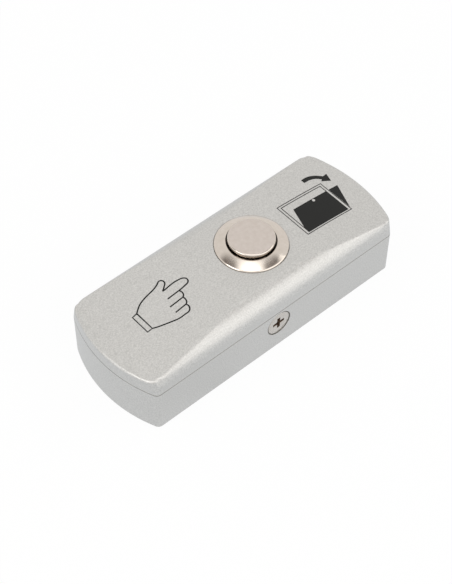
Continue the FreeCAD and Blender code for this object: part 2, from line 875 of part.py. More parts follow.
# Terminals: folded brass strips from the fixed contacts to the screw lugs
def make_terminal(label, sign):
    leg_outer = (leg_offset + strip / 2) * sign
    leg_inner = (leg_offset - strip / 2) * sign
    pad_end = (rivet_offset - size("pad_overhang")) * sign
    lug_end = size("lug_inner") * sign
    lug_bottom = post_bottom - strip
    terminal = new_body(label)
    side = new_sketch(terminal, "XZ_Plane", label + "_side")
    outline(side, [
        (pad_end, pad_top),
        (pad_end, block_floor),
        (leg_inner, block_floor),
        (leg_inner, post_bottom),
        (lug_end, post_bottom),
        (lug_end, lug_bottom),
        (leg_outer, lug_bottom),
        (leg_outer, pad_top),
    ])
    pad(terminal, side, size("terminal_width"), both_sides=True)
    rivet_hole = new_sketch(terminal, "XY_Plane", label + "_rivet_hole", pad_top)
    circle(rivet_hole, rivet_offset * sign, zero, size("rivet_shank") + fit_clearance)
    pocket(terminal, rivet_hole, strip)
    screw_hole = new_sketch(terminal, "XY_Plane", label + "_screw_hole", post_bottom)
    circle(screw_hole, terminal_screw_offset * sign, zero,
           size("terminal_screw_diameter") + fit_clearance * 2)
    pocket(terminal, screw_hole, strip)
    return on_button_axis(terminal)


def make_terminal_screws():
    """Slotted screws, heads down, through the clamp washers into the contact block."""
    head_top = post_bottom - strip - size("clamp_thickness")
    head_bottom = head_top - size("terminal_head_height")
    shank = size("terminal_screw_diameter") / 2
    head = size("terminal_head_diameter") / 2
    shank_end = head_top + size("terminal_screw_length")
    screw = turned("terminal_screw_right", [
        (zero, head_bottom),
        (head, head_bottom),
        (head, head_top),
        (shank, head_top),
        (shank, shank_end),
        (zero, shank_end),
    ])
    slot_depth, slot_half = size("slot_depth"), size("slot_width") / 2
    slot_end = head + slot_depth
    slot = new_sketch(screw, "XY_Plane", "driver_slot", head_bottom)
    rectangle(slot, -slot_end, slot_end, -slot_half, slot_half)
    pocket(screw, slot, slot_depth, upward=True)
    bind(screw, "Placement.Base.x", button_offset + terminal_screw_offset)
    bind(screw, "Placement.Base.z", flange_level)
    return mirrored_pair("terminal_screws", screw, FreeCAD.Vector(1, 0, 0))


def make_clamp_washers():
    half = size("clamp_size") / 2
    washer = new_body("clamp_washer_right")
    plan = new_sketch(washer, "XY_Plane", "clamp_plan",
                      post_bottom - strip - size("clamp_thickness"))
    rectangle(plan, -half, half, -half, half)
    circle(plan, zero, zero, size("terminal_screw_diameter") + fit_clearance * 2)
    pad(washer, plan, size("clamp_thickness"))
    bind(washer, "Placement.Base.x", button_offset + terminal_screw_offset)
    bind(washer, "Placement.Base.z", flange_level)
    return mirrored_pair("clamp_washers", washer, FreeCAD.Vector(1, 0, 0))


# Retaining ring: open snap ring in the barrel's groove, under the contact block
def make_retaining_ring():
    outer = bore_radius + size("ring_bite")
    inner = post_radius + fit_clearance
    half_gap = size("ring_gap") / 2
    ring = new_body("retaining_ring")
    plan = new_sketch(ring, "XY_Plane", "ring_plan", ring_bottom)
    circle(plan, zero, zero, outer * 2)
    circle(plan, zero, zero, inner * 2)
    pad(ring, plan, size("ring_thickness"))
    gap = new_sketch(ring, "XY_Plane", "ring_gap", ring_bottom)
    rectangle(gap, -half_gap, half_gap, zero, outer + half_gap)
    pocket(ring, gap, size("ring_thickness"), upward=True)
    return on_button_axis(ring)


# Lock nut and toothed washer that clamp the barrel to the cover
def make_lock_washer():
    outer = barrel_radius + size("washer_width")
    notch = size("washer_notch")
    washer = new_body("lock_washer")
    bottom = inner_seat_level - flange_level - size("washer_thickness")
    plan = new_sketch(washer, "XY_Plane", "washer_plan", bottom)
    circle(plan, zero, zero, outer * 2)
    circle(plan, zero, zero, barrel_radius * 2 + fit_clearance * 2)
    pad(washer, plan, size("washer_thickness"))
    cut = new_sketch(washer, "XY_Plane", "washer_notch", bottom)
    rectangle(cut, outer - notch, outer + notch, -notch / 2, notch / 2)
    notched = pocket(washer, cut, size("washer_thickness"), upward=True)
    document.recompute()
    teeth = washer.newObject("PartDesign::PolarPattern", "washer_teeth")
    teeth.Originals = [notched]
    teeth.Axis = (plan, ["N_Axis"])
    teeth.Angle = 360
    bind(teeth, "Occurrences", size("washer_teeth"))
    washer.Tip = teeth
    return on_button_axis(washer)


def make_lock_nut():
    half_flats = barrel_radius + size("nut_wall")
    corner = half_flats * 2 / math.sqrt(3)
    top = inner_seat_level - flange_level - size("washer_thickness")
    bottom = top - size("nut_thickness")
    chamfer = size("nut_chamfer")
    nut = new_body("lock_nut")
    plan = new_sketch(nut, "XY_Plane", "nut_plan", bottom)
    outline(plan, [
        (corner, zero),
        (corner / 2, half_flats),
        (-corner / 2, half_flats),
        (-corner, zero),
        (-corner / 2, -half_flats),
        (corner / 2, -half_flats),
    ])
    circle(plan, zero, zero, barrel_radius * 2 + fit_clearance * 2)
    pad(nut, plan, size("nut_thickness"))
    rim = new_sketch(nut, "XZ_Plane", "nut_corner_rims")
    reach = corner + chamfer
    drop = chamfer * (reach - half_flats) / (corner - half_flats)
    outline(rim, [
        (half_flats, bottom),
        (reach, bottom + drop),
        (reach, bottom),
    ])
    outline(rim, [
        (half_flats, top),
        (reach, top),
        (reach, top - drop),
    ])
    revolve(nut, rim, "Groove")
    return on_button_axis(nut)


# Side screws: countersunk heads with a cross recess, through the box into the cover's lugs
def make_side_screws():
    cone_start = zero - side_head_rim
    cone_end = cone_start - side_head_cone
    shank_end = zero - size("side_screw_length")
    screw = turned("side_screw_front", [
        (zero, shank_end),
        (side_screw_radius, shank_end),
        (side_screw_radius, cone_end),
        (side_head_radius, cone_start),
        (side_head_radius, zero),
        (zero, zero),
    ])
    arm = size("cross_width") / 2
    reach = size("cross_span") / 2
    cross = new_sketch(screw, "XY_Plane", "cross_recess")
    outline(cross, [
        (reach, -arm), (reach, arm), (arm, arm),
        (arm, reach), (-arm, reach), (-arm, arm),
        (-reach, arm), (-reach, -arm), (-arm, -arm),
        (-arm, -reach), (arm, -reach), (arm, -arm),
    ])
    pocket(screw, cross, size("cross_depth"), taper=-size("cross_taper"))
    screw.Placement.Rotation = FreeCAD.Rotation(FreeCAD.Vector(1, 0, 0), 90)
    bind(screw, "Placement.Base.y", -side_head_face)
    bind(screw, "Placement.Base.z", side_screw_level)
    return mirrored_pair("side_screws", screw, FreeCAD.Vector(0, 1, 0))


sub_parts = [
    make_box(),
    make_cover(),
    make_side_screws(),
    make_housing(),
    make_gasket(),
    make_lock_washer(),
    make_lock_nut(),
    make_cap(),
    make_cap_seal(),
    make_plunger(),
    make_spring(),
    make_guide_plate(),
    make_bridge(),
    make_bridge_clip(),
    make_rivet_pair("bridge_contacts", bridge_bottom, bridge_bottom - rivet_head),
    make_contact_block(),
    make_retaining_ring(),
    make_terminal("terminal_left", -1.0),
    make_terminal("terminal_right", 1.0),
    make_rivet_pair("fixed_contacts", pad_top, pad_top + rivet_head),
    make_terminal_screws(),
    make_clamp_washers(),
]

document.recompute()

# Every feature is sound before anything is written
for feature in document.Objects:
    if "Invalid" in feature.State or "Error" in feature.State:
        raise RuntimeError(f"{feature.Label} did not build: {feature.State}")
for part in sub_parts:
    if part.Shape.isNull() or not part.Shape.isValid() or not part.Shape.Solids:
        raise RuntimeError(f"{part.Label} has no valid solid")

os.makedirs("parts", exist_ok=True)
for part in sub_parts:
    part.Shape.exportStep(f"parts/{part.Label}.step")
    print(f"{part.Label}: {part.Shape.Volume:.2f} cubic mm")
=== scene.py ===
import math
import bmesh
import bpy
from mathutils import Matrix, Vector


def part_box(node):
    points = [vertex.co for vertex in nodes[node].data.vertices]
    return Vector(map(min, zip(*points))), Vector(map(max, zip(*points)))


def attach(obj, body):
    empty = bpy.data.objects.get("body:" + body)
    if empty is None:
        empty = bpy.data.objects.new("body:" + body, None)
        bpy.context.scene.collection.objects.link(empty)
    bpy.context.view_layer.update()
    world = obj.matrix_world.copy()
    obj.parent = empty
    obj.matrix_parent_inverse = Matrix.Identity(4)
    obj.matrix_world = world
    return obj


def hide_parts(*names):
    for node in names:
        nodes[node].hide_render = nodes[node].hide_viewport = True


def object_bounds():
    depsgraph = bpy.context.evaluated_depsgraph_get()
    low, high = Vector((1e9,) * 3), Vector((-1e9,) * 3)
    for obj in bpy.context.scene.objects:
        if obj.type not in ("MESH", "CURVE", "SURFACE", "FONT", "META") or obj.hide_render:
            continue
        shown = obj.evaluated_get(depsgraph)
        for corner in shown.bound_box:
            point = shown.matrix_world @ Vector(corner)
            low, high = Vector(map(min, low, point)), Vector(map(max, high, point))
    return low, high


# Door exit button: silver lacquered castings with a nickel push button and printed pictograms
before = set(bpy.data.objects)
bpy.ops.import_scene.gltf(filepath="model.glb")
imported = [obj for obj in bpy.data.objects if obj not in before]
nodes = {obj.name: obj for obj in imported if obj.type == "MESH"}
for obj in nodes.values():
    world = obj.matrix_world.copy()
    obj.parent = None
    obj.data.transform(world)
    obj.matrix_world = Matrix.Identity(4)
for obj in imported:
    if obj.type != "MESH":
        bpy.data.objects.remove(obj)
cadLow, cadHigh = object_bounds()
mm = 0.001
mergeWithin, cutWithin = 0.001 * mm, 0.0001 * mm
scene = bpy.context.scene
print("frame loaded:", len(nodes), "nodes")


# Small helpers
def srgb(code):
    parts = [int(code[i:i + 2], 16) / 255 for i in (1, 3, 5)]
    linear = [p / 12.92 if p <= 0.04045 else ((p + 0.055) / 1.055) ** 2.4 for p in parts]
    return (*linear, 1.0)


def addNode(tree, kind, settings={}, links={}):
    # settings: the node's own values, or its inputs by name or number; links: inputs and what feeds them
    node = tree.nodes.new(kind)
    for name, value in settings.items():
        if isinstance(name, str) and hasattr(node, name):
            setattr(node, name, value)
        else:
            node.inputs[name].default_value = value
    for name, source in links.items():
        tree.links.new(source, node.inputs[name])
    return node


mixFirst, mixSecond, mixResult = 6, 7, 2  # a Mix node's colour sockets, by number as their names repeat


def newMaterial(name):
    material = bpy.data.materials.new(name)
    material.use_nodes = True
    tree = material.node_tree
    return material, tree, tree.nodes["Principled BSDF"]


# Camera, solved from the photograph's edges. Angles in degrees, distance in millimetres, clip in metres;
# the focal length and the point straight ahead are in pixels of the photograph's frame.
cameraView = {"azimuth": -42.04, "elevation": 51.73, "roll": 0.90, "distance": 378.8,
              "focalPixels": 1502.4, "aheadX": 235.09, "aheadY": 306.34,
              "frameWidth": 452, "frameHeight": 584, "sensorWidth": 36.0, "clip": (0.01, 20)}


def makeCamera():
    v = cameraView
    azimuth, elevation = math.radians(v["azimuth"]), math.radians(v["elevation"])
    back = Vector((math.sin(azimuth) * math.cos(elevation),
                   -math.cos(azimuth) * math.cos(elevation), math.sin(elevation)))
    data = bpy.data.cameras.new("camera")
    data.sensor_width = v["sensorWidth"]
    data.lens = v["focalPixels"] * v["sensorWidth"] / v["frameHeight"]
    data.shift_x = (v["frameWidth"] / 2 - v["aheadX"]) / v["frameHeight"]
    data.shift_y = (v["aheadY"] - v["frameHeight"] / 2) / v["frameHeight"]
    data.clip_start, data.clip_end = v["clip"]
    camera = bpy.data.objects.new("camera", data)
    camera.rotation_mode = "QUATERNION"
    roll = Matrix.Rotation(math.radians(v["roll"]), 4, "Z").to_quaternion()
    camera.rotation_quaternion = (-back).to_track_quat("-Z", "Y") @ roll
    camera.location = back * v["distance"] * mm
    scene.collection.objects.link(camera)
    scene.camera = camera


makeCamera()

# Studio: white surround and floor, soft lights, and dark nets that draw the nickel. Each stands in a
# direction from the object. Sizes are in metres, floorDrop in millimetres, and brightness is set against
# the surround's white.
studio = {"surround": "#FFFFFF", "softLight": 0.8, "distance": 0.9, "floor": "#F6F6F5", "floorRoughness": 0.9,
          "floorWidth": 6.0, "floorDrop": 0.05, "floorShade": 0.06, "bounce": "#F6FAFF"}
softboxes = {
    # along the long rolled edge
    "longSoftbox": {"toward": (0.415, -0.81, 0.50), "width": 1.2, "height": 1.0, "brightness": 0.72},
    # for the near half of the end's rounded edge
    "endSoftbox": {"toward": (-0.75, 0.06, 0.66), "width": 0.50, "height": 0.42, "brightness": 2.3}}
# an overhead glow with no edge, for the front of the bezel
glowPanel = {"toward": (-0.173, -0.191, 0.967), "radius": 0.5, "brightness": 1.7}
# dark nets on both sides of the bezel's bright front
flags = {"colour": "#4A3424", "roughness": 1.0, "pairs": [
    {"toward": ((0.456, -0.343, 0.821), (-0.388, 0.419, 0.821)), "radius": 0.3, "cover": 0.82},
    {"toward": ((0.239, -0.365, 0.900), (-0.388, 0.200, 0.900)), "radius": 0.22, "cover": 0.6}]}


def faceOrigin(thing, toward):
    place = Vector(toward).normalized() * studio["distance"]
    thing.location = place
    thing.rotation_mode = "QUATERNION"
    thing.rotation_quaternion = (-place).to_track_quat("-Z", "Y")
    scene.collection.objects.link(thing)


def planeMesh(name, width):
    bm = bmesh.new()
    bmesh.ops.create_grid(bm, x_segments=1, y_segments=1, size=width / 2)
    mesh = bpy.data.meshes.new(name)
    bm.to_mesh(mesh)
    bm.free()
    return mesh


def seenDirectly(tree):
    # 1 for the camera, and for what a mirror or glass shows; 0 for light that falls on the object
    rays = addNode(tree, "ShaderNodeLightPath")
    mirrored = addNode(tree, "ShaderNodeMath", {"operation": "MAXIMUM"},
                       {0: rays.outputs["Is Glossy Ray"], 1: rays.outputs["Is Transmission Ray"]})
    seen = addNode(tree, "ShaderNodeMath", {"operation": "MAXIMUM"},
                   {0: rays.outputs["Is Camera Ray"], 1: mirrored.outputs[0]})
    return seen.outputs[0]


def makeWorld():
    world = bpy.data.worlds.new("studio")
    scene.world = world
    world.use_nodes = True
    tree = world.node_tree
    background = tree.nodes["Background"]
    background.inputs["Color"].default_value = srgb(studio["surround"])
    strength = addNode(tree, "ShaderNodeMapRange", {"To Min": studio["softLight"], "To Max": 1.0},
                       {"Value": seenDirectly(tree)})
    tree.links.new(strength.outputs[0], background.inputs["Strength"])


def makeFloor():
    floor = bpy.data.objects.new("floor", planeMesh("floor", studio["floorWidth"]))
    floor.location.z = -studio["floorDrop"] * mm
    scene.collection.objects.link(floor)
    material, tree, shader = newMaterial("white paper sweep")
    shader.inputs["Base Color"].default_value = srgb(studio["floor"])
    shader.inputs["Roughness"].default_value = studio["floorRoughness"]
    # white to the camera, slightly cool in reflections, and dimmed a little by the object's shadow
    rays = addNode(tree, "ShaderNodeLightPath")
    tint = addNode(tree, "ShaderNodeMix", {"data_type": "RGBA", mixFirst: srgb(studio["bounce"]),
                                           mixSecond: srgb(studio["surround"])},
                   {0: rays.outputs["Is Camera Ray"]})
    glow = addNode(tree, "ShaderNodeEmission", {"Strength": 1.0}, {"Color": tint.outputs[mixResult]})
    share = addNode(tree, "ShaderNodeMath", {"operation": "MULTIPLY", 1: 1.0 - studio["floorShade"]},
                    {0: seenDirectly(tree)})
    both = addNode(tree, "ShaderNodeMixShader", {},
                   {0: share.outputs[0], 1: shader.outputs[0], 2: glow.outputs[0]})
    tree.links.new(both.outputs[0], tree.nodes["Material Output"].inputs["Surface"])
    floor.data.materials.append(material)


def makeLights():
    for name, box in softboxes.items():
        data = bpy.data.lights.new(name, "AREA")
        data.shape, data.size, data.size_y = "RECTANGLE", box["width"], box["height"]
        data.energy = box["brightness"] * math.pi * box["width"] * box["height"]
        faceOrigin(bpy.data.objects.new(name, data), box["toward"])


def fadingPlane(name, toward, radius, material):
    # seen in reflections only
    mesh = planeMesh(name, 2 * radius)
    mesh.materials.append(material)
    plane = bpy.data.objects.new(name, mesh)
    faceOrigin(plane, toward)
    plane.visible_camera = False
    plane.visible_diffuse = False
    plane.visible_shadow = False


def fade(tree, radius, full):
    # full in the middle of the plane, none at the radius
    coords = addNode(tree, "ShaderNodeTexCoord")
    place = addNode(tree, "ShaderNodeMapping", {"Scale": (1 / radius,) * 3},
                    {"Vector": coords.outputs["Object"]})
    ball = addNode(tree, "ShaderNodeTexGradient", {"gradient_type": "SPHERICAL"}, {"Vector": place.outputs[0]})
    eased = addNode(tree, "ShaderNodeMapRange", {"interpolation_type": "SMOOTHSTEP", "To Max": full},
                    {"Value": ball.outputs[0]})
    return eased.outputs[0]


def makeGlowPanel():
    material, tree, shader = newMaterial("overhead glow")
    tree.nodes.remove(shader)
    clear = addNode(tree, "ShaderNodeBsdfTransparent")
    glow = addNode(tree, "ShaderNodeEmission", {"Color": srgb(studio["surround"])},
                   {"Strength": fade(tree, glowPanel["radius"], glowPanel["brightness"])})
    both = addNode(tree, "ShaderNodeAddShader", {}, {0: clear.outputs[0], 1: glow.outputs[0]})
    tree.links.new(both.outputs[0], tree.nodes["Material Output"].inputs["Surface"])
    fadingPlane("glowPanel", glowPanel["toward"], glowPanel["radius"], material)


def makeFlags():
    # round nets that thin out towards their edge, so their reflection fades on both sides
    for number, pair in enumerate(flags["pairs"]):
        material, tree, shader = newMaterial(f"dark net {number}")
        shader.inputs["Base Color"].default_value = srgb(flags["colour"])
        shader.inputs["Roughness"].default_value = flags["roughness"]
        tree.links.new(fade(tree, pair["radius"], pair["cover"]), shader.inputs["Alpha"])
        for side, toward in enumerate(pair["toward"]):
            fadingPlane(f"flag{number}{side}", toward, pair["radius"], material)


makeWorld()
makeFloor()
makeLights()
makeGlowPanel()
makeFlags()
scene.view_settings.view_transform = "Standard"
print("camera and studio ready")

noiseLow, noiseHigh = 0.3, 0.7  # most of a noise texture lies between these

# Silver metallic lacquer sprayed on die-cast zinc: aluminium flake in clear binder, so it shines softly,
# with a fine sparkle and a faint orange peel. Painted shade darkens the joint between cover and box and
# the seats of the side screws. Sizes in millimetres. Real flake is about 0.03 mm across; it is drawn at
# flakeSize, as coarse as it needs to show.
lacquer = {"colour": "#CFCDC9", "flakeDark": "#BAB8B4", "flakeSize": 0.34, "flakeDepth": 0.016,
           "peelSize": 1.6, "peelDepth": 0.005, "detail": 1.0, "metallic": 0.8, "roughness": (0.36, 0.46),
           # the colour of the painted shade in the joint and in the screw seats
           "paintedShade": "#7A7872", "jointLevel": 13.0, "jointHalf": 0.16, "jointFull": 0.6,
           "screwSeatRadius": 3.62, "seatFull": 0.99}


def makeLacquer():
    look = lacquer
    material, tree, shader = newMaterial("silver metallic lacquer")
    place = addNode(tree, "ShaderNodeTexCoord").outputs["Object"]
    flakes = addNode(tree, "ShaderNodeTexNoise",
                     {"Scale": 1 / (look["flakeSize"] * mm), "Detail": look["detail"]}, {"Vector": place})
    peel = addNode(tree, "ShaderNodeTexNoise",
                   {"Scale": 1 / (look["peelSize"] * mm), "Detail": look["detail"]}, {"Vector": place})
    bright = addNode(tree, "ShaderNodeMapRange", {"From Min": noiseLow, "From Max": noiseHigh},
                     {"Value": flakes.outputs[0]})
    paint = addNode(tree, "ShaderNodeMix", {"data_type": "RGBA", mixFirst: srgb(look["flakeDark"]),
                                            mixSecond: srgb(look["colour"])},
                    {0: bright.outputs[0]})
    # painted shade in the joint: a dark band above and below its level
    level = addNode(tree, "ShaderNodeSeparateXYZ", {}, {"Vector": place}).outputs["Z"]
    above = addNode(tree, "ShaderNodeMath", {"operation": "SUBTRACT", 1: look["jointLevel"] * mm}, {0: level})
    away = addNode(tree, "ShaderNodeMath", {"operation": "ABSOLUTE"}, {0: above.outputs[0]})
    half = look["jointHalf"] * mm
    jointUnshaded = addNode(tree, "ShaderNodeMapRange", {"From Min": half * look["jointFull"], "From Max": half},
                    {"Value": away.outputs[0]})
    jointShaded = addNode(tree, "ShaderNodeMix", {"data_type": "RGBA", mixFirst: srgb(look["paintedShade"])},
                      {0: jointUnshaded.outputs[0], mixSecond: paint.outputs[mixResult]})
    # painted shade in the screw seats: a dark disc round the screws' shared axis, which runs across the box
    screwLow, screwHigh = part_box("side_screws")
    axis = ((screwLow[0] + screwHigh[0]) / 2, 0, (screwLow[2] + screwHigh[2]) / 2)
    flat = addNode(tree, "ShaderNodeMapping", {"Scale": (1, 0, 1)}, {"Vector": place})
    across = addNode(tree, "ShaderNodeVectorMath", {"operation": "DISTANCE", 1: axis}, {0: flat.outputs[0]})
    seat = look["screwSeatRadius"] * mm
    outside = addNode(tree, "ShaderNodeMapRange", {"From Min": seat * look["seatFull"], "From Max": seat},
                      {"Value": across.outputs["Value"]})
    colour = addNode(tree, "ShaderNodeMix", {"data_type": "RGBA", mixFirst: srgb(look["paintedShade"])},
                     {0: outside.outputs[0], mixSecond: jointShaded.outputs[mixResult]})
    smooth, dull = look["roughness"]
    sheen = addNode(tree, "ShaderNodeMapRange", {"From Min": noiseLow, "From Max": noiseHigh,
                                                 "To Min": smooth, "To Max": dull},
                    {"Value": flakes.outputs[0]})
    waves = addNode(tree, "ShaderNodeBump", {"Distance": look["peelDepth"] * mm}, {"Height": peel.outputs[0]})
    sparkle = addNode(tree, "ShaderNodeBump", {"Distance": look["flakeDepth"] * mm},
                      {"Height": flakes.outputs[0], "Normal": waves.outputs[0]})
    tree.links.new(colour.outputs[mixResult], shader.inputs["Base Color"])
    tree.links.new(sheen.outputs[0], shader.inputs["Roughness"])
    tree.links.new(sparkle.outputs[0], shader.inputs["Normal"])
    shader.inputs["Metallic"].default_value = look["metallic"]
    return material


# The other finishes: two shades, and the size and depth of the unevenness between them, in millimetres.
# Where the real grain is finer than 0.2 mm, it is drawn at 0.2 mm or more, so that it shows. Stretch
# draws it out along an axis, as rolling does.
finishes = {
    # bright nickel plate on turned and buffed brass: mirror-like, warm grey, very slightly cloudy
    "polished nickel plate": {"colour": "#D3C9BF", "dark": "#CCC2B7", "metallic": 1.0,
                              "roughness": (0.09, 0.13), "size": 1.4, "depth": 0.0003},
    # the same plate on the cap's straight side, a little rougher and darkened as painted shade
    "nickel plate with painted side shade": {"colour": "#A89E94", "dark": "#92887E", "metallic": 1.0,
                            "roughness": (0.12, 0.2), "size": 0.8, "depth": 0.0005},
    # satin nickel plate: brushed before plating, so reflections blur into a soft, even sheen
    "satin nickel plate": {"colour": "#CFC5BD", "dark": "#C8BDB4", "metallic": 1.0,
                           "roughness": (0.30, 0.34), "size": 1.1, "depth": 0.0003},
    # nickel plate on cold-headed steel: bright but duller than the bezel
    "nickel plated steel": {"colour": "#CFC8C0", "dark": "#BFB8AF", "metallic": 1.0,
                            "roughness": (0.18, 0.30), "size": 0.4, "depth": 0.002},
    # the same plate down in a screw's cross recess, dulled and darkened as painted shade
    "nickel plate with painted shade": {"colour": "#7E6857", "dark": "#57473A", "metallic": 0.6,
                            "roughness": (0.4, 0.6), "size": 0.3, "depth": 0.004},
    # clear zinc plate: cool grey, slightly cloudy
    "zinc plated steel": {"colour": "#C3C6C8", "dark": "#A9ADB0", "metallic": 1.0,
                          "roughness": (0.28, 0.42), "size": 0.5, "depth": 0.002},
    # drawn spring wire and strip: darker, with a fine mottle left by the drawing
    "bright spring steel": {"colour": "#9FA1A3", "dark": "#85878A", "metallic": 1.0,
                            "roughness": (0.22, 0.34), "size": 0.25, "depth": 0.001},
    # rolled brass strip: yellow metal with rolling lines along its length
    "rolled brass": {"colour": "#CDAA62", "dark": "#B8924B", "metallic": 1.0,
                     "roughness": (0.22, 0.36), "size": 0.22, "depth": 0.001, "stretch": (0.15, 1, 1)},
    # cold-headed silver contact rivet: pale and soft, a little cloudy
    "fine silver": {"colour": "#DAD9D4", "dark": "#C6C4BD", "metallic": 1.0,
                    "roughness": (0.2, 0.32), "size": 0.3, "depth": 0.001},
    # moulded nitrile rubber: matt black with a greyish bloom
    "black nitrile rubber": {"colour": "#1B1B1B", "dark": "#131313", "metallic": 0.0,
                             "roughness": (0.6, 0.78), "size": 0.3, "depth": 0.006},
    # injection-moulded nylon: black, low gloss, with a fine spark-eroded texture
    "moulded black nylon": {"colour": "#232323", "dark": "#1A1A1A", "metallic": 0.0,
                            "roughness": (0.42, 0.56), "size": 0.2, "depth": 0.004},
    # screen-printed enamel ink: charcoal, half matt, slightly uneven cover
    "screen printed ink": {"colour": "#1E1E1C", "dark": "#171715", "metallic": 0.0, "gloss": 0.2,
                           "roughness": (0.45, 0.6), "size": 0.3, "depth": 0.001},
}


def makeFinish(name):
    look = finishes[name]
    material, tree, shader = newMaterial(name)
    coords = addNode(tree, "ShaderNodeTexCoord")
    place = addNode(tree, "ShaderNodeMapping", {"Scale": look.get("stretch", (1, 1, 1))},
                    {"Vector": coords.outputs["Object"]})
    uneven = addNode(tree, "ShaderNodeTexNoise", {"Scale": 1 / (look["size"] * mm)},
                     {"Vector": place.outputs[0]})
    bright = addNode(tree, "ShaderNodeMapRange", {"From Min": noiseLow, "From Max": noiseHigh},
                     {"Value": uneven.outputs[0]})
    colour = addNode(tree, "ShaderNodeMix", {"data_type": "RGBA", mixFirst: srgb(look["dark"]),
                                             mixSecond: srgb(look["colour"])},
                     {0: bright.outputs[0]})
    smooth, dull = look["roughness"]
    sheen = addNode(tree, "ShaderNodeMapRange", {"From Min": noiseLow, "From Max": noiseHigh,
                                                 "To Min": smooth, "To Max": dull},
                    {"Value": uneven.outputs[0]})
    bump = addNode(tree, "ShaderNodeBump", {"Distance": look["depth"] * mm}, {"Height": uneven.outputs[0]})
    tree.links.new(colour.outputs[mixResult], shader.inputs["Base Color"])
    tree.links.new(sheen.outputs[0], shader.inputs["Roughness"])
    tree.links.new(bump.outputs[0], shader.inputs["Normal"])
    shader.inputs["Metallic"].default_value = look["metallic"]
    shader.inputs["Specular IOR Level"].default_value = look.get("gloss", 0.5)
    return material


silverLacquer = makeLacquer()
made = {name: makeFinish(name) for name in finishes}
nodeFinishes = {
    "button_housing": "polished nickel plate", "button_cap": "satin nickel plate",
    "side_screws": "nickel plated steel", "lock_nut": "nickel plated steel",
    "lock_washer": "zinc plated steel", "terminal_screws": "zinc plated steel",
    "clamp_washers": "zinc plated steel", "return_spring": "bright spring steel",
    "retaining_ring": "bright spring steel", "bridge_clip": "bright spring steel",
    "terminal_left": "rolled brass", "terminal_right": "rolled brass", "contact_bridge": "rolled brass",
    "bridge_contacts": "fine silver", "fixed_contacts": "fine silver",
    "flange_gasket": "black nitrile rubber", "cap_seal": "black nitrile rubber",
    "plunger": "moulded black nylon", "guide_plate": "moulded black nylon",
    "contact_block": "moulded black nylon",
}
for name, node in nodes.items():
    node.data.materials.clear()
    node.data.materials.append(made[nodeFinishes[name]] if name in nodeFinishes else silverLacquer)
print("finishes on", len(nodes), "nodes")


def makePiece(name, bm, finish, body, node=None, sharpAngle=32):
    mesh = bpy.data.meshes.new(name)
    bm.to_mesh(mesh)
    bm.free()
    mesh.shade_smooth()
    mesh.set_sharp_from_angle(angle=math.radians(sharpAngle))
    mesh.materials.append(finish)
    piece = bpy.data.objects.new(name, mesh)
    scene.collection.objects.link(piece)
    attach(piece, body)
    if node:
        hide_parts(node)
    return piece


# Push button: both turned pieces share one axis, read from the frame
housingLow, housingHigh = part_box("button_housing")
buttonAxis = Vector(((housingLow[0] + housingHigh[0]) / 2, (housingLow[1] + housingHigh[1]) / 2, 0))
bezelTop = housingHigh[2]
roundSegments = 5


def turnProfile(name, profile, rounds, steps, finish, body, node):
    # profile: (radius, height above the bezel's rim) in millimetres; rounds: a corner's number and its radius
    bm = bmesh.new()
    points = [bm.verts.new((buttonAxis.x + r * mm, buttonAxis.y, bezelTop + z * mm)) for r, z in profile]
    for pair in zip(points, points[1:] + points[:1]):
        bm.edges.new(pair)
    for number, radius in rounds.items():
        bmesh.ops.bevel(bm, geom=[points[number]], offset=radius * mm, affect="VERTICES",
                        segments=roundSegments, profile=0.5, material=-1)
    bmesh.ops.spin(bm, geom=bm.verts[:] + bm.edges[:], cent=buttonAxis, axis=(0, 0, 1),
                   angle=2 * math.pi, steps=steps, use_merge=True)
    bmesh.ops.remove_doubles(bm, verts=bm.verts, dist=mergeWithin)
    bmesh.ops.recalc_face_normals(bm, faces=bm.faces)
    return makePiece(name, bm, finish, body, node)


# Flanged barrel: polished, slightly convex cone, rounded flange edge, and an M16 thread as plain rings.
# Radii, and drops below the rim, in millimetres.
bezelBarrel = {"holeRadius": 6.3, "rimWidth": 0.3, "rimRound": 0.08, "coneInset": 0.2, "coneDrop": 1.05,
               "coneBulge": 0.05, "coneSteps": 6, "flangeDrop": 1.55, "flangeRound": 0.12,
               "shoulderDrop": 3.15, "bore": 6.85, "ringGroove": 7.3, "grooveTop": 11.9, "grooveBottom": 12.7,
               "barrelRadius": 8.0, "threadPitch": 1.0, "threadDepth": 0.5, "threadStart": 3.2, "turns": 11,
               "steps": 144}


